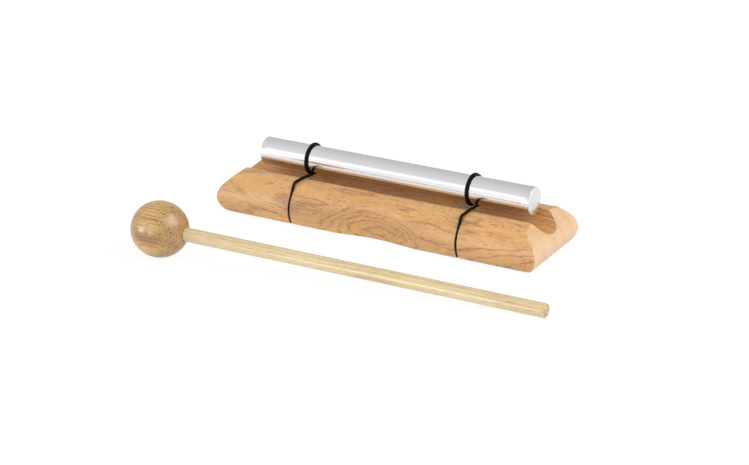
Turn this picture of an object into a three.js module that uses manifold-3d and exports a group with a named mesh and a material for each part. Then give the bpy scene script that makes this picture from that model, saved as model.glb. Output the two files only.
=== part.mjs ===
// Energy chime: a solid aluminium rod slung in elastic cords over a grooved hardwood block, and its beater.
// Millimetres, +Z up. The origin is on the underside of the block, midway between its ends and its sides.
// +X runs along the rod. The beater lies on the floor in front of the block, on the -Y side.

import * as THREE from 'three';
import { mergeVertices } from 'three/addons/utils/BufferGeometryUtils.js';
import Module from 'manifold-3d';

const wasm = await Module();
wasm.setup();

// Block
const blockLength = 205; // end to end, at the bulge
const blockWidth = 57.4; // side to side, at the bulge
const blockHeight = 24;
const bulgeHeight = 9.3; // height of the widest line above the floor
const sideTuck = 3.6; // how far each side draws in from the bulge to the floor
const endTuck = 5.1; // how far each end draws in from the bulge to the floor
const topLength = 183.6; // end to end, along the top
const shoulderSpan = 42.6; // side to side, from shoulder to shoulder
const shoulderDrop = 1.3; // fall of each land from the groove to its shoulder
const shoulderEase = 1.8; // length of the worn corner on each side of a shoulder
const footSwell = 0.42; // how full the flanks are below the bulge, as a share of its height
const bulgeSwell = 0.45; // and above it, as a share of the rise to the top
const bevelSpread = 0.55; // the lean of the bevel: its spread, as a share of the overhang
const bevelDrop = 0.37; // and its drop, as a share of the rise
const grooveRadius = 12;
const grooveDepth = 8.5;
const scoopRadius = 80; // radius of the sanding drum that hollows the finger grips
const scoopDepth = 2.6; // depth of a finger grip at the floor
const scoopLean = THREE.MathUtils.degToRad(4.5);

// Saw kerfs that seat the cords
const kerfSpacing = 107.6;
const kerfWidth = 1.5;
const kerfDepth = 3.3;
const kerfSpan = 38; // side to side, between the places where a kerf runs out on the lands

// Rod
const rodDiameter = 16;
const rodLength = 173.5;
const rodChamfer = 0.5;
const rodShift = 1.8; // how far the rod sits to the right of the middle
const rodLift = 0.1; // height of the rod's underside above the top of the block

// Elastic cords, an endless loop each
const cordDiameter = 1.7;
const cordFlat = 1.95; // width of the cord where it is pulled flat round the rod
const cordRecess = 0.5; // how deep the cord lies under the mouth of its kerf
const lipEase = 0.15; // extra height of the cord's bend over the edge of the groove
const fitGap = 0.15; // clearance on each side of a piece that bears on another

// How far each loop has crept along the rod from its kerf: its turn, and the strand that comes in below
const leftTurnCreep = 0.2;
const leftStrandCreep = 2.6;
const rightTurnCreep = -3.6;
const rightStrandCreep = 1.3;
const cords = [
  { name: 'cord_left', kerf: -kerfSpacing / 2, turnCreep: leftTurnCreep, strandCreep: leftStrandCreep },
  { name: 'cord_right', kerf: kerfSpacing / 2, turnCreep: rightTurnCreep, strandCreep: rightStrandCreep },
];

// Beater
const headDiameter = 32;
const headLength = 33.2; // the ball is a little longer along the stick than across
const stickDiameter = 8;
const stickReach = 227.8; // centre of the head to the tip of the stick
const stickRound = 2; // radius at the tip
const socketDepth = 22; // depth of the hole that the stick is glued into
const headPlace = new THREE.Vector2(-94.1, -99.9);
const stickYaw = THREE.MathUtils.degToRad(6.55);

// Fineness of the faceted surfaces
const flankSteps = 20;
const roundSteps = 64;
const scoopSteps = 160;
const cordSides = 8;
const overshoot = 10; // how far a cutter runs past the wood

const smooth = (value, low, high) => THREE.MathUtils.smoothstep(value, low, high);

function toManifold(geometry) {
  const bare = geometry.clone();
  bare.deleteAttribute('normal');
  bare.deleteAttribute('uv');
  const merged = mergeVertices(bare);
  return new wasm.Manifold(new wasm.Mesh({
    numProp: 3,
    vertProperties: new Float32Array(merged.attributes.position.array),
    triVerts: new Uint32Array(merged.index.array),
  }));
}

function toGeometry(solid) {
  const mesh = solid.getMesh();
  const geometry = new THREE.BufferGeometry();
  geometry.setAttribute('position', new THREE.BufferAttribute(mesh.vertProperties, mesh.numProp));
  geometry.setIndex(new THREE.BufferAttribute(mesh.triVerts, 1));
  geometry.computeVertexNormals();
  return geometry;
}

// A flat outline drawn in Y and Z, stretched along X from one place to another.
function alongX(shape, from, to) {
  const geometry = new THREE.ExtrudeGeometry(shape, { depth: to - from, bevelEnabled: false });
  const basis = new THREE.Matrix4().makeBasis(
    new THREE.Vector3(0, 1, 0),
    new THREE.Vector3(0, 0, 1),
    new THREE.Vector3(1, 0, 0),
  );
  return geometry.applyMatrix4(basis).translate(from, 0, 0);
}

// A flat outline drawn in X and Z, stretched along Y by the same distance each way.
function acrossY(shape, reach) {
  const geometry = new THREE.ExtrudeGeometry(shape, { depth: 2 * reach, bevelEnabled: false });
  return geometry.rotateX(Math.PI / 2).translate(0, reach, 0);
}

// The block's flank, from the floor up: it swells to the bulge, turns in and runs out in a straight bevel.
function flank(bulge, tuck, corner, ease) {
  const rise = corner.y - bulgeHeight;
  const bevelPull = new THREE.Vector2(bevelSpread * (bulge - corner.x), -bevelDrop * rise);
  const top = corner.clone().addScaledVector(bevelPull.clone().normalize(), ease);
  const path = new THREE.Path();
  path.moveTo(bulge - tuck, 0);
  path.quadraticCurveTo(bulge, footSwell * bulgeHeight, bulge, bulgeHeight);
  path.bezierCurveTo(
    bulge, bulgeHeight + bulgeSwell * rise,
    corner.x + bevelPull.x, corner.y + bevelPull.y,
    top.x, top.y,
  );
  return path;
}

// Points along a flank, moved into the wood by a depth.
function flankPoints(path, depth) {
  const points = [];
  for (let step = 0; step <= flankSteps; step += 1) {
    const place = path.getPointAt(step / flankSteps);
    const tangent = path.getTangentAt(step / flankSteps);
    points.push(new THREE.Vector2(place.x - depth * tangent.y, place.y + depth * tangent.x));
  }
  return points;
}

// A closed outline from the points of its right half, from the foot up.
function mirrored(right) {
  const left = right.map((point) => new THREE.Vector2(-point.x, point.y)).reverse();
  return new THREE.Shape([...right, ...left]);
}

// The block's section across the rod and its outline along the rod, which together give its pillow shape
const shoulder = new THREE.Vector2(shoulderSpan / 2, blockHeight - shoulderDrop);
const grooveHeight = blockHeight - grooveDepth + grooveRadius;
const grooveHalf = Math.sqrt(grooveRadius ** 2 - (grooveHeight - blockHeight) ** 2);
const landSlope = shoulderDrop / (shoulder.x - grooveHalf);
const kerfEnd = kerfSpan / 2;
const landHeight = (reach) => blockHeight - landSlope * (reach - grooveHalf);
const side = flank(blockWidth / 2, sideTuck, shoulder, shoulderEase);
const end = flank(blockLength / 2, endTuck, new THREE.Vector2(topLength / 2, blockHeight), 0);

function easedShoulder() {
  const low = side.getPoint(1);
  const high = new THREE.Vector2(shoulder.x - shoulderEase, landHeight(shoulder.x - shoulderEase));
  return new THREE.QuadraticBezierCurve(low, shoulder, high).getPoints(4).slice(1);
}

const lipEdge = new THREE.Vector2(grooveHalf, blockHeight);
const section = mirrored([...flankPoints(side, 0), ...easedShoulder(), lipEdge]);
const lengthwise = mirrored(flankPoints(end, 0));

// A kerf is the wood in a thin slab outside this core: it runs round the underside and the sides, up to the
// lands.
function kerfCutter(place) {
  const belowShoulder = (point) => point.y > kerfDepth && point.y < shoulder.y - kerfDepth;
  const flankCore = flankPoints(side, kerfDepth).filter(belowShoulder);
  const foot = new THREE.Vector2(flankCore[0].x - (flankCore[0].y - kerfDepth), kerfDepth);
  const runOut = new THREE.Vector2(kerfEnd, blockHeight + overshoot);
  const surface = new THREE.Vector2(kerfEnd, landHeight(kerfEnd));
  const slab = new THREE.Shape([
    new THREE.Vector2(-blockWidth, -overshoot),
    new THREE.Vector2(blockWidth, -overshoot),
    new THREE.Vector2(blockWidth, blockHeight + 2 * overshoot),
    new THREE.Vector2(-blockWidth, blockHeight + 2 * overshoot),
  ]);
  slab.holes.push(mirrored([foot, ...flankCore, surface, runOut]));
  return alongX(slab, place - kerfWidth / 2, place + kerfWidth / 2);
}

function grooveCutter() {
  const length = blockLength + 2 * overshoot;
  const drum = new THREE.CylinderGeometry(grooveRadius, grooveRadius, length, roundSteps);
  return drum.rotateZ(Math.PI / 2).translate(0, 0, grooveHeight);
}

// The finger grip on one long side: sign is -1 in front and 1 behind.
function scoopCutter(sign) {
  const length = 2 * (blockHeight + overshoot);
  const drum = new THREE.CylinderGeometry(scoopRadius, scoopRadius, length, scoopSteps);
  const axis = blockWidth / 2 - sideTuck - scoopDepth + scoopRadius / Math.cos(scoopLean);
  return drum.rotateX(Math.PI / 2 - sign * scoopLean).translate(0, sign * axis, 0);
}

function blockGeometry() {
  const body = toManifold(alongX(section, -blockLength, blockLength));
  const kerfs = cords.map((cord) => kerfCutter(cord.kerf));
  const cutters = [grooveCutter(), scoopCutter(-1), scoopCutter(1), ...kerfs];
  const shaped = cutters.reduce(
    (wood, cutter) => wood.subtract(toManifold(cutter)),
    body.intersect(toManifold(acrossY(lengthwise, blockWidth))),
  );
  return toGeometry(shaped);
}

// A round bar turned from its profile, with the axis along Y: each point is a radius and a height.
function turned(profile) {
  const points = profile.map(([radius, height]) => new THREE.Vector2(radius, height));
  return new THREE.LatheGeometry(points, roundSteps);
}

const rodRadius = rodDiameter / 2;
const rodHeight = blockHeight + rodLift + rodRadius;

function rodGeometry() {
  const half = rodLength / 2;
  return turned([
    [0, -half],
    [rodRadius - rodChamfer, -half],
    [rodRadius, -half + rodChamfer],
    [rodRadius, half - rodChamfer],
    [rodRadius - rodChamfer, half],
    [0, half],
  ]);
}

// The cord keeps its cross-section: pulled flat round the rod, round on the land, on edge in the narrow kerf.
const cordRadius = cordDiameter / 2;
const kerfHalf = kerfWidth / 2 - fitGap;
const kerfThick = cordRadius ** 2 / kerfHalf;
const turnThick = cordRadius ** 2 / (cordFlat / 2);
const turnRadius = rodRadius + fitGap + turnThick;
const cordRise = cordRadius + fitGap;

// Where the straight strand over the lip of the groove meets the turn round the rod
const lip = new THREE.Vector2(grooveHalf, blockHeight + cordRise + lipEase);
const lipFromRod = new THREE.Vector2(lip.x, lip.y - rodHeight);
const touchAngle = Math.atan2(lipFromRod.y, lipFromRod.x) - Math.acos(turnRadius / lipFromRod.length());
const touch = new THREE.Vector2(Math.cos(touchAngle), Math.sin(touchAngle))
  .multiplyScalar(turnRadius)
  .add(new THREE.Vector2(0, rodHeight));

// Half the strand's width at a distance from the middle of the block, where it lies above the block
function strandHalf(reach) {
  if (reach < lip.x) return THREE.MathUtils.lerp(cordFlat / 2, cordRadius, smooth(reach, touch.x, lip.x));
  return THREE.MathUtils.lerp(cordRadius, kerfHalf, smooth(reach, (grooveHalf + kerfEnd) / 2, kerfEnd));
}

// Half of the loop, seen along the rod: from the rod over the lip and the land, down the kerf and in below.
function strandRoute() {
  const depth = cordRecess + kerfThick;
  const thick = (reach) => cordRadius ** 2 / strandHalf(reach);
  const onLand = (reach) => new THREE.Vector2(reach, landHeight(reach) + fitGap + thick(reach));
  const straight = (point) => point.y < kerfEnd && point.y > 2 * depth;
  const inKerf = flankPoints(side, depth).reverse().filter(straight);
  const corner = new THREE.Vector2(inKerf[inKerf.length - 1].x - depth, depth);
  const landing = onLand(lip.x + cordRise);
  const path = new THREE.Path();
  path.moveTo(touch.x, touch.y);
  path.lineTo(lip.x - cordRise, lip.y - cordRise * (lip.y - touch.y) / (lip.x - touch.x));
  path.quadraticCurveTo(lip.x, lip.y, landing.x, landing.y);
  const acrossLand = (share) => onLand(THREE.MathUtils.lerp(landing.x, kerfEnd + fitGap, share));
  path.splineThru([0.25, 0.5, 0.75, 1].map(acrossLand));
  path.lineTo(kerfEnd + cordRise, path.currentPoint.y);
  path.quadraticCurveTo(shoulder.x + cordRise, blockHeight + cordRise, inKerf[0].x, inKerf[0].y);
  path.splineThru(inKerf.slice(1));
  path.quadraticCurveTo(corner.x + depth / 2, depth, corner.x - depth, depth);
  path.lineTo(0, depth);
  return path;
}

// One endless loop: up the front, once round the rod, down the back and under the block.
function cordRoute(cord) {
  const strand = strandRoute();
  const strandSteps = 36;
  const turnSteps = 50;
  const strandPlace = cord.kerf + cord.strandCreep;
  const turnPlace = cord.kerf + cord.turnCreep;
  const across = (reach, place) => THREE.MathUtils.lerp(place, cord.kerf, smooth(reach, lip.x / 2, kerfEnd));
  const route = [];
  const addStrand = (sign, share, place) => {
    const point = strand.getPointAt(share);
    const above = point.y > shoulder.y;
    const middle = new THREE.Vector3(above ? across(point.x, place) : cord.kerf, sign * point.x, point.y);
    route.push({ middle, half: above ? strandHalf(point.x) : kerfHalf });
  };
  for (let step = strandSteps; step > 0; step -= 1) addStrand(-1, step / strandSteps, strandPlace);
  const first = -Math.PI - touchAngle;
  const last = 2 * Math.PI + touchAngle;
  for (let step = 0; step <= turnSteps; step += 1) {
    const angle = THREE.MathUtils.lerp(first, last, step / turnSteps);
    const drift = smooth(angle, -0.2 * Math.PI, 0.4 * Math.PI);
    const middle = new THREE.Vector3(
      THREE.MathUtils.lerp(strandPlace, turnPlace, drift),
      turnRadius * Math.cos(angle),
      rodHeight + turnRadius * Math.sin(angle),
    );
    route.push({ middle, half: cordFlat / 2 });
  }
  for (let step = 1; step < strandSteps; step += 1) addStrand(1, step / strandSteps, turnPlace);
  return route;
}

// The loop's skin: an oval at each station, its width held across the cord's run and level with the rod.
function cordGeometry(route) {
  const count = route.length;
  const places = [];
  const faces = [];
  route.forEach(({ middle, half }, station) => {
    const before = route[(station + count - 1) % count].middle;
    const after = route[(station + 1) % count].middle;
    const run = after.clone().sub(before).normalize();
    const wide = new THREE.Vector3(1, 0, 0).addScaledVector(run, -run.x).normalize();
    const thick = new THREE.Vector3().crossVectors(run, wide);
    for (let corner = 0; corner < cordSides; corner += 1) {
      const angle = 2 * Math.PI * corner / cordSides;
      const point = middle.clone();
      point.addScaledVector(wide, half * Math.cos(angle));
      point.addScaledVector(thick, cordRadius ** 2 / half * Math.sin(angle));
      places.push(point.x, point.y, point.z);
      const here = station * cordSides + corner;
      const beside = station * cordSides + (corner + 1) % cordSides;
      const ahead = ((station + 1) % count) * cordSides + corner;
      const aheadBeside = ((station + 1) % count) * cordSides + (corner + 1) % cordSides;
      faces.push(here, beside, ahead, beside, aheadBeside, ahead);
    }
  });
  const geometry = new THREE.BufferGeometry();
  geometry.setAttribute('position', new THREE.Float32BufferAttribute(places, 3));
  geometry.setIndex(faces);
  geometry.computeVertexNormals();
  return geometry;
}

// The least gap between two stretches of one loop that lie beside each other.
function leastGap(route) {
  const loop = new THREE.CatmullRomCurve3(route.map(({ middle }) => middle), true);
  const count = 3 * route.length;
  const points = loop.getSpacedPoints(count).slice(0, count);
  const apart = Math.ceil(Math.PI * rodRadius / loop.getLength() * count);
  let least = Infinity;
  for (let first = 0; first < count; first += 1) {
    for (let second = first + apart; second <= Math.min(count - 1, first + count - apart); second += 1) {
      least = Math.min(least, points[first].distanceTo(points[second]));
    }
  }
  return least - cordFlat;
}

// The beater's own frame has the head's centre at its origin and the stick along +Y.
const headRadius = headDiameter / 2;
const headReach = headLength / 2;
const stickRadius = stickDiameter / 2;
const socketRadius = stickRadius + fitGap;
const socketFloor = headReach - socketDepth;

function headGeometry() {
  const ball = [];
  const mouthAngle = Math.acos(socketRadius / headRadius);
  for (let step = 0; step <= roundSteps / 2; step += 1) {
    const angle = THREE.MathUtils.lerp(-Math.PI / 2, mouthAngle, step / (roundSteps / 2));
    ball.push([headRadius * Math.cos(angle), headReach * Math.sin(angle)]);
  }
  ball[0][0] = 0;
  return turned([...ball, [socketRadius, socketFloor], [0, socketFloor]]);
}

function stickGeometry() {
  const foot = socketFloor + 2 * fitGap;
  const tip = [];
  for (let step = 0; step <= 4; step += 1) {
    const angle = THREE.MathUtils.lerp(0, Math.PI / 2, step / 4);
    tip.push([
      stickRadius - stickRound + stickRound * Math.cos(angle),
      stickReach - stickRound + stickRound * Math.sin(angle),
    ]);
  }
  return turned([[0, foot], [stickRadius, foot], ...tip, [0, stickReach]]);
}

// The beater rests on its head and on the end of its stick, so the stick falls away from the head.
function layDown(beater) {
  const resting = stickReach - stickRound;
  const fall = Math.asin(headRadius / Math.hypot(resting, stickRadius)) - Math.atan2(stickRadius, resting);
  const along = new THREE.Vector3(
    Math.cos(fall) * Math.cos(stickYaw),
    Math.cos(fall) * Math.sin(stickYaw),
    -Math.sin(fall),
  );
  const height = Math.hypot(headRadius * Math.cos(fall), headReach * Math.sin(fall));
  beater.quaternion.setFromUnitVectors(new THREE.Vector3(0, 1, 0), along);
  beater.position.set(headPlace.x, headPlace.y, height);
}

function piece(name, geometry, color, roughness, metalness) {
  const mesh = new THREE.Mesh(geometry, new THREE.MeshStandardMaterial({ color, roughness, metalness }));
  mesh.name = name;
  return mesh;
}

const chime = new THREE.Group();
chime.add(piece('base_block', blockGeometry(), 0xcd9f6b, 0.55, 0));

const rod = piece('chime_rod', rodGeometry(), 0xd6d7da, 0.22, 1);
rod.rotation.z = -Math.PI / 2;
rod.position.set(rodShift, 0, rodHeight);
chime.add(rod);

for (const cord of cords) {
  const route = cordRoute(cord);
  console.log(`${cord.name} comes within ${leastGap(route).toFixed(2)} mm of itself`);
  chime.add(piece(cord.name, cordGeometry(route), 0x17181b, 0.8, 0));
}

const beater = new THREE.Group();
beater.add(piece('mallet_head', headGeometry(), 0xc39a63, 0.45, 0));
beater.add(piece('mallet_stick', stickGeometry(), 0xe5d3a0, 0.6, 0));
layDown(beater);
chime.add(beater);

export default chime;
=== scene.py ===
from math import acos, asin, atan2, cos, hypot, pi, radians, sin, sqrt, tan

import bmesh
import bpy
import numpy as np
from mathutils import Euler, Matrix, Vector


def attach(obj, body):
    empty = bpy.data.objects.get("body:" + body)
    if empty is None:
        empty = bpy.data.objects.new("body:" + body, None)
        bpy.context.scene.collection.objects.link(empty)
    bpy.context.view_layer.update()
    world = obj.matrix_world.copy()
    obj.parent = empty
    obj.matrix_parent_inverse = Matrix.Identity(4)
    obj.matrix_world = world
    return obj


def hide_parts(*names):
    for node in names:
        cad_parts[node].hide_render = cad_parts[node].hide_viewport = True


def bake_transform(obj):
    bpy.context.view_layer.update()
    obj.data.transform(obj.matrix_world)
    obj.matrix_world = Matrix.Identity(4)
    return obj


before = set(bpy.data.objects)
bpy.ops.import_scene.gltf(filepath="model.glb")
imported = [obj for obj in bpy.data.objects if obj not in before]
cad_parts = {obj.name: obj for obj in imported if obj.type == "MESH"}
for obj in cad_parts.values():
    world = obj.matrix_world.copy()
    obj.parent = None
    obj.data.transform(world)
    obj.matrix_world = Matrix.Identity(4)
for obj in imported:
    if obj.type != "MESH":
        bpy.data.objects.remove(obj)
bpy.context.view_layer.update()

# Camera
# A long lens from the front right, above the chime, at the angle of a catalogue picture.
camera_data = bpy.data.cameras.new("camera")
camera_data.sensor_width = 36
camera_data.lens = 112.92
camera = bpy.data.objects.new("camera", camera_data)
camera.location = (0.5988, -1.09951, 0.50921)
look_down, look_left, roll = 22.282, 29.1, -0.284
turn = Euler((radians(90 - look_down), 0, radians(look_left))).to_matrix()
camera.rotation_euler = (turn @ Matrix.Rotation(radians(roll), 3, "Z")).to_euler()
bpy.context.scene.collection.objects.link(camera)
bpy.context.scene.camera = camera
bpy.context.scene.view_settings.view_transform = "Standard"


# Floor
# A sheet of white board under the instrument. It glows for the camera and in mirrors, so that only a faint
# shadow shows on it.
def add(tree, kind, inputs=None, **settings):
    """Adds a node. Each input is a number, a colour or another node's output."""
    node = tree.nodes.new(kind)
    for key, value in settings.items():
        setattr(node, key, value)
    for key, value in (inputs or {}).items():
        if isinstance(value, bpy.types.NodeSocket):
            tree.links.new(value, node.inputs[key])
        else:
            node.inputs[key].default_value = value
    return node


def new_material(name):
    """A material with an empty node tree, and that tree."""
    material = bpy.data.materials.new(name)
    material.use_nodes = True
    material.node_tree.nodes.clear()
    return material, material.node_tree


board_reach, board_grey, glow_strength, glow_share = 6, 0.9, 1.03, 0.9
board = bmesh.new()
bmesh.ops.create_grid(board, x_segments=1, y_segments=1, size=board_reach)
floor_mesh = bpy.data.meshes.new("floor")
board.to_mesh(floor_mesh)
board.free()
floor = bpy.data.objects.new("floor", floor_mesh)
bpy.context.scene.collection.objects.link(floor)
floor_white, tree = new_material("white_board")
matte = add(tree, "ShaderNodeBsdfDiffuse", {"Color": (board_grey, board_grey, board_grey, 1)})
glow = add(tree, "ShaderNodeEmission", {"Color": (1, 1, 1, 1), "Strength": glow_strength})
path = add(tree, "ShaderNodeLightPath").outputs
seen = add(tree, "ShaderNodeMath", {0: path["Is Camera Ray"], 1: path["Is Glossy Ray"]},
           operation="MAXIMUM")
share = add(tree, "ShaderNodeMath", {0: seen.outputs[0], 1: glow_share}, operation="MULTIPLY")
surface = add(tree, "ShaderNodeMixShader", {0: share.outputs[0], 1: matte.outputs[0], 2: glow.outputs[0]})
add(tree, "ShaderNodeOutputMaterial", {"Surface": surface.outputs[0]})
floor.data.materials.append(floor_white)


# Light
# A white studio: a dome that is brighter in front and to the left, a wide weak softbox high in front, two
# small bright ones low down in front and to the left, and a large one at the right.
def spread(tree, value, source, target):
    """Maps a value from one range to another."""
    return add(tree, "ShaderNodeMapRange", {"Value": value, 1: source[0], 2: source[1],
                                            3: target[0], 4: target[1]}).outputs[0]


world = bpy.data.worlds.new("studio")
bpy.context.scene.world = world
world.use_nodes = True
tree = world.node_tree
tree.nodes.clear()
direction = add(tree, "ShaderNodeTexCoord")
depth = add(tree, "ShaderNodeSeparateXYZ", {0: direction.outputs["Generated"]})
near = spread(tree, depth.outputs["Y"], (1.0, -1.0), (0.6, 0.96))
left = spread(tree, depth.outputs["X"], (0.5, -0.4), (0.62, 1.0))
level = add(tree, "ShaderNodeMath", {0: near, 1: left}, operation="MULTIPLY").outputs[0]
dome = add(tree, "ShaderNodeCombineColor", {"Red": level, "Green": level, "Blue": level})
shown = add(tree, "ShaderNodeLightPath")
sky = add(tree, "ShaderNodeMix", {0: shown.outputs["Is Camera Ray"], 6: dome.outputs[0], 7: (1, 1, 1, 1)},
          data_type="RGBA")
backdrop = add(tree, "ShaderNodeBackground", {"Color": sky.outputs[2], "Strength": 1.0})
add(tree, "ShaderNodeOutputWorld", {"Surface": backdrop.outputs[0]})

lamp_distance = 1.6


def softbox(name, azimuth, elevation, width, height, radiance):
    """An area light that faces the chime. Its azimuth is counted from the front, to the right."""
    lamp = bpy.data.lights.new(name, "AREA")
    lamp.shape = "RECTANGLE"
    lamp.size = width
    lamp.size_y = height
    lamp.energy = radiance * pi * width * height
    box = bpy.data.objects.new(name, lamp)
    side, up = radians(azimuth), radians(elevation)
    place = Vector((sin(side) * cos(up), -cos(side) * cos(up), sin(up))) * lamp_distance
    box.location = place
    box.rotation_euler = place.to_track_quat("Z", "Y").to_euler()
    bpy.context.scene.collection.objects.link(box)


softbox("softbox_front", azimuth=-27, elevation=25.5, width=1.0, height=0.56, radiance=0.4)
softbox("softbox_low", azimuth=-8, elevation=4, width=0.36, height=0.22, radiance=13.0)
softbox("softbox_left", azimuth=-46, elevation=4, width=0.5, height=0.24, radiance=15.5)
softbox("softbox_right", azimuth=92, elevation=43, width=1.3, height=1.2, radiance=3.8)

# Base block
# One length of light, open-grained hardwood, shaped on a moulder and sanded: a round groove along its top,
# rounded flanks with a straight bevel above, a finger scoop in each long side, and two saw kerfs that seat
# the cords.
mm = 0.001
half_width, half_length, height, bulge = 28.68, 102.48, 24.0, 9.3
side_round, end_round = 13.8, 11.0
shoulder_reach, shoulder_top, crest_reach = 21.3, 22.7, 91.8
shoulder = (shoulder_reach, shoulder_top)
groove_round, groove_axis, lip_reach = 12.0, 27.5, 11.6
scoop_round, scoop_foot, scoop_lean = 80.0, 22.5, tan(radians(4.5))
scoop_end, scoop_blend, crest_blend = 60, 2.4, 0.5
kerf_place, kerf_half, kerf_deep, kerf_end, kerf_fade = 53.8, 0.75, 3.3, 19.0, 0.4
# The worn mouth of a kerf, as steps outside its wall and how deep the outline is pressed in at each
kerf_mouth = ((0.8, 0), (0.3, 0), (0.08, 0.06), (0, 0.3), (0, kerf_deep))
# How far the edges are sanded round. The shoulder's edge gets sharper over the last stretch before an end.
foot_wear, side_wear, side_wear_lost, lip_wear = 1.0, 3.0, 1.6, 0.7
sharper_from, sharper_to = 88, 94


def soft_least(a, b, blend):
    """The lesser of two measures, rounded over where they cross."""
    near = np.maximum(blend - np.abs(a - b), 0) / blend
    return np.minimum(a, b) - near * near * blend / 4


def rounded_flank(z, reach, curve, corner):
    """How far out a flank lies at a height: an arc up to the bevel, and the bevel up to its corner."""
    centre = (reach - curve, bulge)
    gap = (corner[0] - centre[0], corner[1] - centre[1])
    meet = atan2(gap[1], gap[0]) - acos(curve / hypot(*gap))
    touch = (centre[0] + curve * cos(meet), centre[1] + curve * sin(meet))
    arc = centre[0] + np.sqrt(np.maximum(curve**2 - (z - bulge) ** 2, 0))
    bevel = touch[0] + (corner[0] - touch[0]) * (z - touch[1]) / (corner[1] - touch[1])
    return np.where(z < touch[1], arc, bevel)


count_below, count_above = 400, 600
end_heights = np.concatenate([np.linspace(0, bulge, count_below), np.linspace(bulge, height, count_above)])
end_reaches = rounded_flank(end_heights, half_length, end_round, (crest_reach, height))


def end_floor(along):
    """The lowest wood at a place along the block, without the wear of the foot's edge."""
    return np.interp(along, end_reaches[:count_below], end_heights[:count_below])


def end_crest(along):
    """The highest wood at a place along the block, without the wear of the crest."""
    return np.interp(-along, -end_reaches[count_below:], end_heights[count_below:])


def end_span(along):
    """The lowest and the highest wood at a place along the block, with its edges eased."""
    low, high = end_floor(along), end_crest(along)
    foot, crest, ease = end_reaches[0], crest_reach, 1.2
    if foot - ease < along < foot + ease:
        share = (along - foot + ease) / (2 * ease)
        low = share * share * end_floor(foot + ease)
    if crest - ease < along < crest + ease:
        share = (along - crest + ease) / (2 * ease)
        high = height - share * share * (height - end_crest(crest + ease))
    return float(low), float(high)


def evenly(curve, start, stop, count):
    """Points at even steps along a curve, from a distance after its start to a distance before its end."""
    run = np.concatenate([[0], np.cumsum(np.hypot(*np.diff(curve, axis=0).T))])
    places = np.linspace(start, run[-1] - stop, count)
    return np.column_stack([np.interp(places, run, curve[:, axis]) for axis in (0, 1)])


def bend(start, corner, stop, count=12):
    """A smooth bend from one point to another that heads for a corner."""
    steps = np.linspace(0, 1, count)[:, None]
    start, corner, stop = np.array(start), np.array(corner), np.array(stop)
    return (1 - steps) ** 2 * start + 2 * steps * (1 - steps) * corner + steps**2 * stop


def inward(outline):
    """The direction into the wood at each point of an outline."""
    way = np.gradient(outline, axis=0)
    return np.column_stack([-way[:, 1], way[:, 0]]) / np.maximum(np.hypot(*way.T), 1e-9)[:, None]


def land(y):
    """The height of the flat between the lip of the groove and the shoulder."""
    return height - (y - lip_reach) * (height - shoulder_top) / (shoulder_reach - lip_reach)


def block_outline(along):
    """Half of the block's section at a place along it, from its foot's middle to its groove's middle."""
    along = abs(along)
    low, high = end_span(along)
    scoop_edge = scoop_foot + scoop_round - sqrt(scoop_round**2 - min(along, scoop_end) ** 2)

    def flank(z):
        plain = rounded_flank(z, half_width, side_round, shoulder)
        return soft_least(plain, scoop_edge + scoop_lean * z, scoop_blend)

    def top(y):
        cut_down = high < height - 0.01
        return soft_least(land(y), high, crest_blend) if cut_down else land(y)

    # A few rounds settle where the flank meets the top, and where the top meets the groove.
    upper = min(shoulder_top, high)
    for _ in range(3):
        upper = float(top(flank(upper)))
    edge = float(flank(upper))
    lip = lip_reach
    for _ in range(6):
        lip = sqrt(max(groove_round**2 - (groove_axis - float(top(lip))) ** 2, 2.0))
    heights = np.linspace(low, upper, 160)
    across = np.linspace(edge, lip, 40)
    inner = lip * np.cos(np.linspace(0, pi / 2, 60))
    groove = groove_axis - np.sqrt(groove_round**2 - inner**2)
    curves = [
        np.column_stack([np.linspace(0, flank(low), 30), np.full(30, low)]),
        np.column_stack([flank(heights), heights]),
        np.column_stack([across, top(across)]),
        np.column_stack([inner, np.minimum(groove, top(inner))]),
    ]
    counts = (12, 40, 12, 20)
    lengths = [np.hypot(*np.diff(curve, axis=0).T).sum() for curve in curves]
    near_end = np.interp(along, [sharper_from, sharper_to], [0, 1])
    wear = [foot_wear, side_wear - side_wear_lost * near_end, lip_wear]
    wear = [min(round_off, 0.4 * lengths[i], 0.4 * lengths[i + 1]) for i, round_off in enumerate(wear)]
    starts, stops = [0, *wear], [*wear, 0]
    points = [evenly(curves[0], 0, stops[0], counts[0])]
    for i in range(1, 4):
        after = evenly(curves[i], starts[i], stops[i], counts[i])
        rounded = bend(points[-1][-1], curves[i][0], after[0], count=8)
        points += [rounded[1:-1], after]
    return np.concatenate(points)


def sunk(outline, depth):
    """The outline pressed into the wood, except on the lands inside the cords' run-out."""
    top_side = (outline[:, 1] > groove_axis - groove_round - 1) & (outline[:, 0] < shoulder_reach)
    share = np.where(top_side, np.clip((outline[:, 0] - kerf_end) / kerf_fade, 0, 1), 1)
    moved = outline + inward(outline) * (depth * share)[:, None]
    moved[:, 0] = np.maximum(moved[:, 0], 0)
    moved[0, 0] = 0
    return moved


def block_stations():
    """Places along the block, with the depth that the outline is pressed in there: deep inside a kerf. They
    are close together over the scoop, the kerf, the crest's end and the rounded end."""
    scoop = [(place, 0) for place in np.linspace(0, 48, 56)]
    inner_wall = [(kerf_place - kerf_half - out, depth) for out, depth in kerf_mouth]
    outer_wall = [(kerf_place + kerf_half + out, depth) for out, depth in reversed(kerf_mouth)]
    kerf = [*inner_wall, (kerf_place, kerf_deep), *outer_wall]
    body = [(50, 0), (51.6, 0), *kerf, *((place, 0) for place in np.linspace(58, 88, 9))]
    crest = [(place, 0) for place in np.linspace(90, 96.2, 18)]
    angles = np.radians(np.linspace(53, 1.6, 26))
    turn_in = [(half_length - end_round * (1 - cos(angle)), 0) for angle in angles]
    right = scoop + body + crest + turn_in
    return [(-place, depth) for place, depth in reversed(right[1:])] + right


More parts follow.
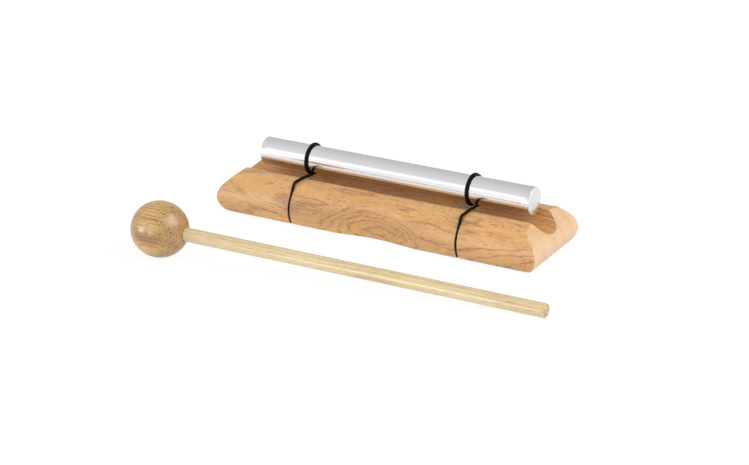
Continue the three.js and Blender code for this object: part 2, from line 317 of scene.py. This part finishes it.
def finish_mesh(mesh_data, name, smooth_angle):
    """Makes an object of a bmesh, with shading that is smooth except over sharp edges."""
    mesh = bpy.data.meshes.new(name)
    mesh_data.to_mesh(mesh)
    mesh_data.free()
    for face in mesh.polygons:
        face.use_smooth = True
    mesh.set_sharp_from_angle(angle=radians(smooth_angle))
    piece = bpy.data.objects.new(name, mesh)
    bpy.context.scene.collection.objects.link(piece)
    return piece


rows = []
for along, depth in block_stations():
    half = block_outline(along)
    if depth:
        half = sunk(half, depth)
    other = half[-2::-1] * (-1, 1)
    rows.append([(along * mm, y * mm, z * mm) for y, z in np.concatenate([half, other])])
wood = bmesh.new()
bmesh.ops.create_grid(wood, x_segments=len(rows[0]) - 1, y_segments=len(rows) - 1, size=1)
for vert, place in zip(wood.verts, (place for row in rows for place in row)):
    vert.co = place
weld = 0.004 * mm
bmesh.ops.remove_doubles(wood, verts=wood.verts, dist=weld)
bmesh.ops.dissolve_degenerate(wood, edges=wood.edges, dist=weld)
bmesh.ops.holes_fill(wood, edges=[edge for edge in wood.edges if edge.is_boundary], sides=0)
bmesh.ops.recalc_face_normals(wood, faces=wood.faces)
block = finish_mesh(wood, "hardwood_block", smooth_angle=40)
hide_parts("base_block")
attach(block, "base")


def wood_material(name, turn_in, shift, tones, end_grain, rings, pore, depths, gloss, shine, pattern=1.0,
                  painted_groove_shade=None):
    """Wood seen through the log's own frame, in millimetres, with the grain along X. Its tones are pale and
    warm early wood and dark late wood. Its growth rings show as broad bands and, along the grain, as fine
    lines: rings holds the width of both and their strength. A pore has a length and a width, and a depth of
    colour on the sides and on end grain. A painted groove shade darkens and reddens the side grain in the
    block's groove and just over its lips. It is painted shade where the rod shades the groove."""
    pale, warm, dark = tones
    band, line, figure = rings
    pore_length, pore_width = pore
    side_pores, end_pores = depths
    material, tree = new_material(name)
    place = add(tree, "ShaderNodeTexCoord")
    log = add(tree, "ShaderNodeMapping", {"Vector": place.outputs["Object"], "Location": shift,
                                          "Rotation": turn_in, "Scale": (1000, 1000, 1000)}).outputs[0]

    def stretched(scale, detail=3.0, rough=0.5):
        coarse = add(tree, "ShaderNodeMapping", {"Vector": log, "Scale": scale}).outputs[0]
        return add(tree, "ShaderNodeTexNoise",
                   {"Vector": coarse, "Scale": 1.0, "Detail": detail, "Roughness": rough}).outputs["Fac"]

    def ramp(value, *stops):
        node = add(tree, "ShaderNodeValToRGB", {0: value})
        while len(node.color_ramp.elements) < len(stops):
            node.color_ramp.elements.new(0.5)
        for element, (at, grey) in zip(node.color_ramp.elements, stops):
            element.position = at
            element.color = (grey, grey, grey, 1)
        return node.outputs[0]

    def math(operation, a, b, c=0.0):
        return add(tree, "ShaderNodeMath", {0: a, 1: b, 2: c}, operation=operation).outputs[0]

    def mixed(fac, a, b, blend_type="MIX"):
        return add(tree, "ShaderNodeMix", {0: fac, 6: a, 7: b}, data_type="RGBA",
                   blend_type=blend_type).outputs[2]

    def ringed(width, *stops):
        return ramp(math("FRACT", math("DIVIDE", warped, width), 0.0), *stops)

    apart = add(tree, "ShaderNodeSeparateXYZ", {0: log})
    across = add(tree, "ShaderNodeCombineXYZ", {"Y": apart.outputs["Y"], "Z": apart.outputs["Z"]}).outputs[0]
    radius = add(tree, "ShaderNodeVectorMath", {0: across}, operation="LENGTH").outputs["Value"]
    wander = stretched((0.011, 0.045, 0.045), 2.0)
    ripple = stretched((0.05, 0.3, 0.3), 2.0)
    warped = math("MULTIPLY_ADD", ripple, 1.6 * pattern, math("MULTIPLY_ADD", wander, 9.0 * pattern, radius))
    bands = ringed(band, (0.0, 0.6), (0.1, 0.05), (0.55, 0.0), (0.85, 0.5), (0.95, 1.0), (1.0, 0.6))
    lines = ringed(line, (0.0, 0.3), (0.1, 0.0), (0.68, 0.0), (0.9, 1.0), (1.0, 0.3))
    broken = ramp(stretched((0.035, 0.4, 0.4), 3.0, 0.6), (0.36, 0.0), (0.52, 1.0))
    fibre = ramp(stretched((0.06, 1.9, 1.9), 3.0, 0.62), (0.3, 0.0), (0.75, 1.0))
    patch = ramp(stretched((0.016, 0.07, 0.07), 2.0), (0.35, 0.0), (0.65, 1.0))
    vessels = ramp(stretched((1 / pore_length, 1 / pore_width, 1 / pore_width), 2.0, 0.5),
                   (0.55, 0.0), (0.63, 1.0))
    crowd = ramp(stretched((0.03, 0.22, 0.22), 2.0), (0.38, 0.25), (0.6, 1.0))
    pores = math("MULTIPLY", vessels, crowd)

    facing = add(tree, "ShaderNodeVectorRotate", {"Vector": place.outputs["Normal"], "Rotation": turn_in},
                 rotation_type="EULER_XYZ").outputs[0]
    endwise = math("ABSOLUTE", add(tree, "ShaderNodeSeparateXYZ", {0: facing}).outputs["X"], 0.0)
    at_end = ramp(endwise, (0.3, 0.0), (0.75, 1.0))

    early = mixed(patch, (*pale, 1), (*warm, 1))
    grained = mixed(math("MULTIPLY", fibre, 0.22), early, (*dark, 1))
    banded = mixed(math("MULTIPLY", bands, 0.25 * figure), grained, (*dark, 1))
    lined = mixed(math("MULTIPLY", math("MULTIPLY", lines, broken), figure), banded, (*dark, 1))
    ends = mixed(math("MULTIPLY", bands, 0.8 * figure), (*end_grain, 1), (*warm, 1))
    body = mixed(at_end, lined, ends)
    hollow = tuple(0.4 * value for value in dark)
    shown_pores = math("MULTIPLY", pores, math("MULTIPLY_ADD", at_end, end_pores - side_pores, side_pores))
    colour = mixed(shown_pores, body, (*hollow, 1))
    # Painted shade: side grain in the groove and just over its lips, under the rod, is multiplied darker and
    # redder.
    if painted_groove_shade:
        spot = add(tree, "ShaderNodeSeparateXYZ", {0: place.outputs["Object"]})
        inside = spread(tree, math("ABSOLUTE", spot.outputs["Y"], 0.0), (0.0135, 0.0095), (0, 1))
        high_up = spread(tree, spot.outputs["Z"], (0.0148, 0.0154), (0, 1))
        groove_shade_share = math("MULTIPLY", math("MULTIPLY", inside, high_up), math("SUBTRACT", 1.0, at_end))
        colour = mixed(groove_shade_share, colour, (*painted_groove_shade, 1), "MULTIPLY")

    relief = math("MULTIPLY_ADD", pores, -1.2, fibre)
    bump = add(tree, "ShaderNodeBump", {"Height": relief, "Strength": 0.25, "Distance": 0.00005}).outputs[0]
    rough = spread(tree, fibre, (0, 1), (gloss, gloss + 0.08))
    skin = add(tree, "ShaderNodeBsdfPrincipled", {"Base Color": colour, "Roughness": rough, "Normal": bump,
                                                  "Specular IOR Level": shine})
    add(tree, "ShaderNodeOutputMaterial", {"Surface": skin.outputs[0]})
    return material


# The block's wood has painted shade in its groove, under the rod.
block.data.materials.append(wood_material(
    "oiled_hardwood", turn_in=(0, 0, radians(1.5)), shift=(60, 15, -7),
    tones=((0.8, 0.455, 0.144), (0.69, 0.345, 0.094), (0.25, 0.07, 0.012)),
    end_grain=(0.75, 0.48, 0.285), rings=(11.0, 1.6, 0.66), pore=(3.6, 0.38), depths=(0.75, 0.3),
    gloss=0.42, shine=1.2, painted_groove_shade=(0.84, 0.73, 0.56)))

# Chime rod
# A solid round bar of aluminium, ground and polished, sawn square and lightly chamfered at both ends. It
# hangs in the two cords and can be pushed along in them.
rod_radius, rod_half, rod_shift, rod_axis, rod_chamfer = 8.0, 86.75, 1.8, 32.1, 0.5
edge_ease, edge_drop, edge_step = 0.12, 0.04, 0.02


def turned_bar(name, profile, steps, smooth_angle):
    """Spins a profile of (distance along, radius) points about X. It starts and ends on the axis."""
    bar = bmesh.new()
    verts = [bar.verts.new((along * mm, 0, radius * mm)) for along, radius in profile]
    edges = [bar.edges.new(pair) for pair in zip(verts, verts[1:])]
    bmesh.ops.spin(bar, geom=verts + edges, cent=(0, 0, 0), axis=(1, 0, 0), angle=2 * pi, steps=steps,
                   use_merge=True)
    bmesh.ops.remove_doubles(bar, verts=bar.verts, dist=0.001 * mm)
    bmesh.ops.recalc_face_normals(bar, faces=bar.faces)
    return finish_mesh(bar, name, smooth_angle)


rod_end = [(rod_half, 0), (rod_half, 3.5), (rod_half, rod_radius - rod_chamfer - edge_ease),
           (rod_half - edge_drop, rod_radius - rod_chamfer + edge_step),
           (rod_half - rod_chamfer + edge_step, rod_radius - edge_drop),
           (rod_half - rod_chamfer - edge_ease, rod_radius)]
rod_body = [(along, rod_radius) for along in np.linspace(-80, 80, 9)]
rod_profile = [(-along, radius) for along, radius in rod_end] + rod_body + rod_end[::-1]
rod = turned_bar("polished_rod", rod_profile, steps=160, smooth_angle=30)
rod.data.transform(Matrix.Translation((rod_shift * mm, 0, rod_axis * mm)))
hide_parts("chime_rod")
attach(rod, "rod")

polished, tree = new_material("polished_aluminium")
place = add(tree, "ShaderNodeTexCoord")
drawn = add(tree, "ShaderNodeMapping", {"Vector": place.outputs["Object"],
                                        "Scale": (60, 4000, 4000)}).outputs[0]
lines = add(tree, "ShaderNodeTexNoise", {"Vector": drawn, "Scale": 1.0, "Detail": 2.0}).outputs["Fac"]
facing = add(tree, "ShaderNodeSeparateXYZ", {0: place.outputs["Normal"]}).outputs["X"]
ends = add(tree, "ShaderNodeMath", {0: facing}, operation="ABSOLUTE").outputs[0]
sawn = add(tree, "ShaderNodeValToRGB", {0: ends})
sawn.color_ramp.elements[0].color = (0, 0, 0, 1)
for at, grey in ((0.3, 0.0), (0.5, 0.6), (0.9, 0.6)):
    sawn.color_ramp.elements.new(at).color = (grey, grey, grey, 1)
sawn.color_ramp.elements[-1].position = 0.97
sawn.color_ramp.elements[-1].color = (0.1, 0.1, 0.1, 1)
ground = spread(tree, lines, (0.3, 0.7), (0.16, 0.18))
rough = add(tree, "ShaderNodeMath", {0: ground, 1: sawn.outputs[0]}, operation="ADD").outputs[0]
bump = add(tree, "ShaderNodeBump", {"Height": lines, "Strength": 0.03, "Distance": 0.00002}).outputs[0]
metal = add(tree, "ShaderNodeBsdfPrincipled", {"Base Color": (0.79, 0.778, 0.8, 1), "Metallic": 1.0,
                                               "Roughness": rough, "Normal": bump})
add(tree, "ShaderNodeOutputMaterial", {"Surface": metal.outputs[0]})
rod.data.materials.append(polished)

# Cords
# Two endless loops of thin black elastic cord, a rubber core under a braided sleeve. Each lies in its kerf
# round the block, comes up over the land, and takes one full turn round the rod, which hangs in it.
cord_radius, cord_flat, cord_gap, cord_recess, lip_ease = 0.85, 0.975, 0.15, 0.25, 0.15
kerf_play, turn_gap = 0.04, 0.03
kerf_fit = kerf_half - kerf_play
cord_lift = cord_radius + cord_gap
turn_radius = rod_radius + turn_gap + cord_radius**2 / cord_flat
lip_top = (lip_reach, height + cord_lift + lip_ease)
from_rod = (lip_top[0], lip_top[1] - rod_axis)
touch_angle = atan2(from_rod[1], from_rod[0]) - acos(turn_radius / hypot(*from_rod))
touch = (turn_radius * cos(touch_angle), rod_axis + turn_radius * sin(touch_angle))
# Below this height the cord is down in its kerf
dip_top = 17.2
# The front strand is pulled aside under the rod: in full near the middle, and not at all further out
pull, pull_full, pull_none = 1.5, 3, 10
plaits, plait_pitch, plait_swell = 6, 1.9, 0.035


def smooth(value, low, high):
    """Rises from 0 to 1 between two values, level at both."""
    share = min(max((value - low) / (high - low), 0), 1)
    return share * share * (3 - 2 * share)


def strand_half(reach):
    """Half the strand's width above the block: flat at the rod, round on the land, narrow at its kerf."""
    if reach < lip_reach:
        return cord_flat + (cord_radius - cord_flat) * smooth(reach, touch[0], lip_reach)
    middle = (lip_reach + kerf_end) / 2
    return cord_radius + (kerf_fit - cord_radius) * smooth(reach, middle, kerf_end)


def strand_points():
    """Half of the loop, seen along the rod, from the rod to the middle of the underside."""
    depth = cord_recess + cord_radius**2 / kerf_fit

    def on_land(reach):
        return reach, float(land(reach)) + cord_gap + cord_radius**2 / strand_half(reach)

    heights = np.linspace(0, shoulder_top, 200)
    skin = np.column_stack([rounded_flank(heights, half_width, side_round, shoulder), heights])
    inner = skin + depth * inward(skin)
    inner = inner[(inner[:, 1] < dip_top) & (inner[:, 1] > 2 * depth)][::-1]
    landing = on_land(lip_reach + cord_lift)
    slope = (lip_top[1] - touch[1]) / (lip_top[0] - touch[0])
    leave = (lip_top[0] - cord_lift, lip_top[1] - cord_lift * slope)
    edge = (kerf_end + cord_lift, on_land(kerf_end)[1])
    foot = (inner[-1][0] - depth, depth)
    return np.concatenate([
        [touch], bend(leave, lip_top, landing),
        [on_land(reach) for reach in np.linspace(landing[0], kerf_end, 12)[1:]],
        bend(edge, (shoulder_reach + cord_lift, height + cord_lift), inner[0]), inner[1:],
        bend(inner[-1], (foot[0] + depth / 2, depth), (foot[0] - depth, depth))[1:], [(0, depth)]])


def cord_stations(kerf, turn_place, strand_place, step=0.2):
    """The cord's whole loop as (middle, half width, part) at even steps: up the front, round the rod, down
    behind. Under the rod, where the loop crosses itself, its front strand is pulled aside."""
    strand = strand_points()
    run = np.hypot(*np.diff(strand, axis=0).T).sum()
    strand = evenly(strand, 0, 0, int(run / step))
    route = []

    def add_strand(sign, points, place):
        for reach, up in points:
            free = up > shoulder_top - 0.2
            side = kerf + (place - kerf) * (1 - smooth(reach, lip_reach / 2, kerf_end)) if free else kerf
            if sign < 0 and free:
                side -= pull * (1 - smooth(reach, pull_full, pull_none))
            half = strand_half(reach) if free else kerf_fit
            part = "links" if free and reach < lip_reach else "seat"
            route.append((Vector((side, sign * reach, up)), half, part))

    add_strand(-1, strand[::-1], strand_place)
    first, last = -pi - touch_angle, 2 * pi + touch_angle
    count = int((last - first) * turn_radius / step)
    rising, over = -0.2 * pi, 0.4 * pi
    for angle in np.linspace(first, last, count + 1)[1:-1]:
        drift = smooth(angle, rising, over)
        aside = pull * (1 - smooth(angle, first, rising))
        side = strand_place + (turn_place - strand_place) * drift - aside
        middle = Vector((side, turn_radius * cos(angle), rod_axis + turn_radius * sin(angle)))
        route.append((middle, cord_flat, "turn"))
    add_strand(1, strand, turn_place)
    return route


def braided_tube(name, stretch, sides=24):
    """The sleeve round a stretch of cord, with raised plaits and a map of turns and millimetres."""
    rows, runs, run = [], [], 0
    for i, (middle, half, _) in enumerate(stretch):
        before, after = stretch[max(i - 1, 0)][0], stretch[min(i + 1, len(stretch) - 1)][0]
        way = (after - before).normalized()
        wide = (Vector((1, 0, 0)) - way * way.x).normalized()
        thick = way.cross(wide)
        run += (middle - before).length
        twist = 2 * pi * run / plait_pitch
        row = []
        for k in range(sides + 1):
            angle = 2 * pi * k / sides
            plait = sin(plaits * angle + twist) * sin(plaits * angle - twist)
            swell = 1 - plait_swell + plait_swell * plait
            row.append((middle + wide * (half * swell * cos(angle))
                        + thick * (cord_radius**2 / half * swell * sin(angle))) * mm)
        rows.append(row)
        runs.append(run)
    tube = bmesh.new()
    bmesh.ops.create_grid(tube, x_segments=sides, y_segments=len(rows) - 1, size=1)
    sleeve = tube.loops.layers.uv.new("sleeve")
    for index, vert in enumerate(tube.verts):
        row, column = divmod(index, sides + 1)
        vert.co = rows[row][column]
        for loop in vert.link_loops:
            loop[sleeve].uv = (column / sides, runs[row])
    bmesh.ops.remove_doubles(tube, verts=tube.verts, dist=0.001 * mm)
    bmesh.ops.holes_fill(tube, edges=[edge for edge in tube.edges if edge.is_boundary], sides=0)
    bmesh.ops.recalc_face_normals(tube, faces=tube.faces)
    return finish_mesh(tube, name, smooth_angle=60)


elastic, tree = new_material("braided_elastic")
strands = add(tree, "ShaderNodeUVMap", uv_map="sleeve").outputs[0]
thread = add(tree, "ShaderNodeMapping", {"Vector": strands, "Scale": (40, 6, 1)}).outputs[0]
fuzz = add(tree, "ShaderNodeTexNoise", {"Vector": thread, "Scale": 1.0, "Detail": 3.0}).outputs["Fac"]
yarn = add(tree, "ShaderNodeValToRGB", {0: fuzz})
deep_black, worn_black = (0.002, 0.002, 0.003, 1), (0.007, 0.008, 0.012, 1)
for element, at, black in zip(yarn.color_ramp.elements, (0.35, 0.75), (deep_black, worn_black)):
    element.position = at
    element.color = black
cloth = add(tree, "ShaderNodeBsdfPrincipled", {"Base Color": yarn.outputs[0], "Roughness": 0.8,
                                               "Specular IOR Level": 0.12, "Sheen Weight": 0.02,
                                               "Sheen Roughness": 0.4})
add(tree, "ShaderNodeOutputMaterial", {"Surface": cloth.outputs[0]})

# How far each cord's turn, and its strand under the rod, have crept along from its kerf
cord_places = (("left", -kerf_place, 0.2, 2.6), ("right", kerf_place, -3.6, 1.3))
for cord_name, kerf, turn_creep, strand_creep in cord_places:
    route = cord_stations(kerf, kerf + turn_creep, kerf + strand_creep)
    cuts = [0] + [i for i in range(1, len(route)) if route[i][2] != route[i - 1][2]] + [len(route)]
    stretches = [route[max(start - 1, 0):stop] for start, stop in zip(cuts, cuts[1:])]
    seat = stretches[-1][:-1] + stretches[0]
    pieces = [("seat", seat), ("front_link", stretches[1]), ("turn", stretches[2]),
              ("rear_link", stretches[3])]
    for part, stretch in pieces:
        piece = braided_tube(f"elastic_{cord_name}_{part}", stretch)
        piece.data.materials.append(elastic)
        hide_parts(f"cord_{cord_name}")
        if part in ("seat", "turn"):
            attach(piece, "base" if part == "seat" else "slings")
        else:
            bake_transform(piece)

# Beater head
# A ball turned from hardwood, with a hole for the stick drilled about two thirds of the way through. The
# beater lies beside the block, on the ball and on the edge of the stick's far end.
head_radius, head_reach, stick_radius, stick_reach, stick_round = 15.98, 16.58, 4.0, 227.78, 2.0
socket_radius, socket_floor, mouth_wear = 4.15, -5.4, 0.3
beater_across, beater_forward, beater_turn = -94.1, -99.9, 6.55
mouth = head_reach * sqrt(1 - (socket_radius / head_radius) ** 2)
resting = stick_reach - stick_round
fall = asin(head_radius / hypot(resting, stick_radius)) - atan2(stick_radius, resting)
centre_height = hypot(head_radius * cos(fall), head_reach * sin(fall))
tilt = Euler((0, fall, radians(beater_turn))).to_matrix().to_4x4()
lie = Matrix.Translation(Vector((beater_across, beater_forward, centre_height)) * mm) @ tilt

ball_angles = np.linspace(0, pi - asin((socket_radius + mouth_wear) / head_radius), 72)
ball_profile = [(-head_reach * cos(angle), head_radius * sin(angle)) for angle in ball_angles]
ball_profile += [(mouth - 0.12, socket_radius + 0.06), (mouth - 0.5, socket_radius),
                 (socket_floor, socket_radius), (socket_floor, 0)]
head = turned_bar("beater_ball", ball_profile, steps=128, smooth_angle=40)
head.data.transform(lie)
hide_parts("mallet_head")
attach(head, "mallet")

unlay = lie.inverted()
into_beater = unlay.to_euler()
beater_shift = unlay.to_translation() * 1000
head.data.materials.append(wood_material(
    "turned_hardwood", turn_in=into_beater,
    shift=(beater_shift.x + 160, beater_shift.y + 22, beater_shift.z + 10),
    tones=((0.71, 0.445, 0.158), (0.34, 0.18, 0.05), (0.19, 0.07, 0.014)),
    end_grain=(0.44, 0.25, 0.085), rings=(9.0, 1.9, 0.8), pore=(2.4, 0.6), depths=(0.75, 1.3),
    gloss=0.29, shine=0.9, pattern=0.6))

# Beater stick
# A straight dowel of pale wood, with the edge of its far end sanded round. Its other end is glued into the
# hole of the ball.
glue_gap = 0.3
stick_foot = socket_floor + glue_gap
stick_profile = [(stick_foot, 0), (stick_foot, stick_radius)]
stick_profile += [(along, stick_radius) for along in np.linspace(14, 222, 14)]
stick_profile += [(stick_reach - stick_round + stick_round * sin(angle),
                   stick_radius - stick_round + stick_round * cos(angle))
                  for angle in np.linspace(0, pi / 2, 9)]
stick_profile += [(stick_reach, 0)]
stick = turned_bar("beater_stick", stick_profile, steps=64, smooth_angle=40)
stick.data.transform(lie)
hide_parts("mallet_stick")
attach(stick, "mallet")

stick.data.materials.append(wood_material(
    "pale_dowel", turn_in=into_beater, shift=(beater_shift.x, beater_shift.y + 30, beater_shift.z + 12),
    tones=((0.7, 0.575, 0.33), (0.64, 0.49, 0.26), (0.44, 0.28, 0.12)),
    end_grain=(0.5, 0.31, 0.14), rings=(7.0, 2.2, 0.6), pore=(6.0, 0.4), depths=(0.4, 0.6),
    gloss=0.24, shine=0.9, pattern=0.5))
